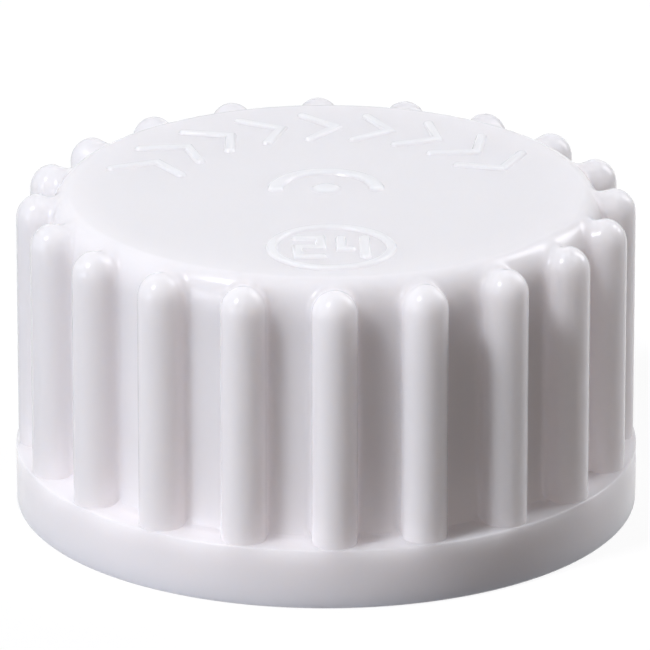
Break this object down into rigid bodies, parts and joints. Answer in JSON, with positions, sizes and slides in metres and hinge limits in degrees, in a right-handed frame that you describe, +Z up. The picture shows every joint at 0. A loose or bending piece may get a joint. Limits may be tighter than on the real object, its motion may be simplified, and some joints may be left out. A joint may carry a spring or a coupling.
{
  "type": "screw closure for a volumetric flask",
  "caption": "Low white screw closure with full-round grip ribs, a smooth base band, an inner thread and a loose layered liner disc that turns.",
  "frame": {"origin": "centre of the open rim that the closure stands on", "axes": "+Z up along the closure's axis through the closed top; one grip rib points along -Y, and the neck size is read from that side"},
  "size_m": [0.031, 0.031, 0.0163],
  "materials": {
    "shell": "semi-gloss moulded white polypropylene",
    "backing": "matt closed-cell polyethylene foam",
    "facing": "waxy white fluoropolymer film"
  },
  "bodies": {
    "shell": {"cap_shell": "shell"},
    "liner": {"liner_backing": "backing", "liner_facing": "facing"}
  },
  "joints": [
    {"name": "liner_turn", "type": "hinge", "parent": "shell", "child": "liner", "pos_m": [0, 0, 0.01295], "axis": [0, 0, 1], "continuous": true}
  ]
}
